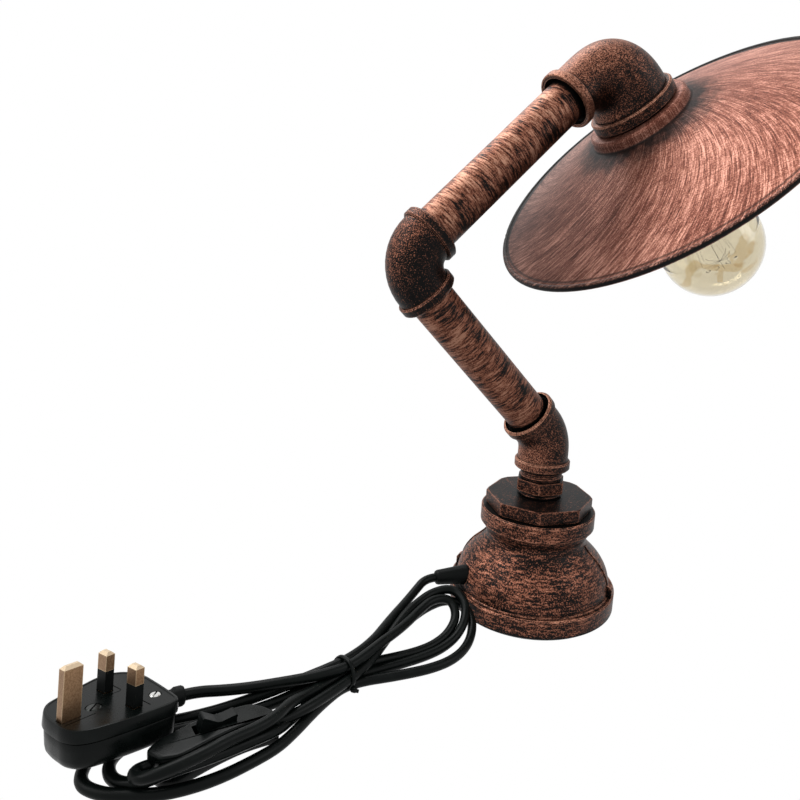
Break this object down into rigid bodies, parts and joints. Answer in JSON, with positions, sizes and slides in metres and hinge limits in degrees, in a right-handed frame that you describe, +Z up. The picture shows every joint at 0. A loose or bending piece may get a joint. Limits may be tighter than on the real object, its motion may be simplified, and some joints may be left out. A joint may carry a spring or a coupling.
{
  "type": "table lamp",
  "caption": "Table lamp of iron pipe fittings with a 45 degree elbow arm, a conical steel shade, a globe bulb, and a flex with an in-line rocker switch and a plug.",
  "frame": {"origin": "centre of the underside of the base, where the lamp stands", "axes": "+Z up along the post; the arm lies in the XZ plane; the shade looks towards +X and down at 45 degrees; the cord leaves towards -X"},
  "size_m": [0.4462, 0.254, 0.3888],
  "materials": {
    "pad": "matt foam rubber",
    "plain_steel": "zinc plated",
    "cast_copper_black": "black base coat, copper dry brushed over the casting skin",
    "pipe_copper_black": "black base coat, copper brushed across the pipe",
    "shade_copper": "satin copper brushed over black, brush marks round and across",
    "black_moulding": "satin black",
    "pale_insulator": "glazed ceramic",
    "brass": "bright",
    "black_sheath": "semi-gloss black PVC",
    "core_brown": "PVC",
    "core_blue": "PVC",
    "core_green": "PVC",
    "amber_glass": "tinted clear",
    "clear_glass": "clear",
    "dark_glass": "black glass",
    "nickel": "nickel plated",
    "filament": "drawn wire"
  },
  "bodies": {
    "base": {"base_pad": "pad", "base_plate": "plain_steel", "base_reducer": "cast_copper_black", "octagon_bush": "cast_copper_black", "hex_nipple": "cast_copper_black", "cord_gland": "black_moulding", "gland_locknut": "black_moulding", "flex_in_base": "black_sheath", "cord_from_gland": "black_sheath", "cord_hank": "black_sheath", "hank_tie": "black_moulding", "cord_to_plug": "black_sheath", "plug_base": "black_moulding", "plug_cover": "black_moulding", "plug_pin_earth": "brass", "plug_pins_live_neutral": "brass", "plug_pin_sleeves": "black_moulding", "plug_screws": "plain_steel", "plug_strain_relief": "black_moulding", "plug_fuse": "pale_insulator", "plug_fuse_clips": "brass", "switch_lower_case": "black_moulding", "switch_upper_case": "black_moulding", "switch_carrier": "black_moulding", "switch_contacts": "brass", "switch_screws": "plain_steel"},
    "lower_arm": {"elbow_45": "cast_copper_black", "lower_pipe": "pipe_copper_black", "flex_in_lower_pipe": "black_sheath"},
    "upper_arm": {"elbow_90": "cast_copper_black", "upper_pipe": "pipe_copper_black", "flex_in_upper_pipe": "black_sheath"},
    "head": {"top_elbow": "cast_copper_black", "mouth_plate": "cast_copper_black", "holder_nipple": "plain_steel", "nipple_nut": "plain_steel", "shade": "shade_copper", "lampholder_cap": "black_moulding", "lampholder_skirt": "black_moulding", "lampholder_terminal_block": "pale_insulator", "terminal_screws": "brass", "lampholder_screw_shell": "brass", "lampholder_centre_contact": "brass", "flex_in_head": "black_sheath", "core_live": "core_brown", "core_neutral": "core_blue", "core_earth": "core_green"},
    "bulb": {"bulb_glass": "amber_glass", "bulb_cap": "nickel", "bulb_cap_insulator": "dark_glass", "bulb_contact": "nickel", "bulb_stem": "clear_glass", "bulb_filament": "filament", "filament_supports": "nickel"},
    "rocker": {"switch_rocker": "black_moulding"}
  },
  "joints": [
    {"name": "base_swivel", "type": "hinge", "parent": "base", "child": "lower_arm", "pos_m": [0, 0, 0.092], "axis": [0, 0, 1], "range_deg": [-90, 90]},
    {"name": "elbow_swivel", "type": "hinge", "parent": "lower_arm", "child": "upper_arm", "pos_m": [-0.10762, 0, 0.22152], "axis": [-0.7071, 0, 0.7071], "range_deg": [-40, 40]},
    {"name": "head_swivel", "type": "hinge", "parent": "upper_arm", "child": "head", "pos_m": [0.02227, 0, 0.35142], "axis": [0.7071, 0, 0.7071], "range_deg": [-60, 60]},
    {"name": "bulb_withdraw", "type": "slide", "parent": "head", "child": "bulb", "axis": [0.7071, 0, -0.7071], "range_m": [0, 0.03]},
    {"name": "switch_rocker", "type": "hinge", "parent": "base", "child": "rocker", "pos_m": [-0.21319, -0.06622, 0.0115], "axis": [0.1564, -0.9877, 0], "range_deg": [0, 28]}
  ]
}
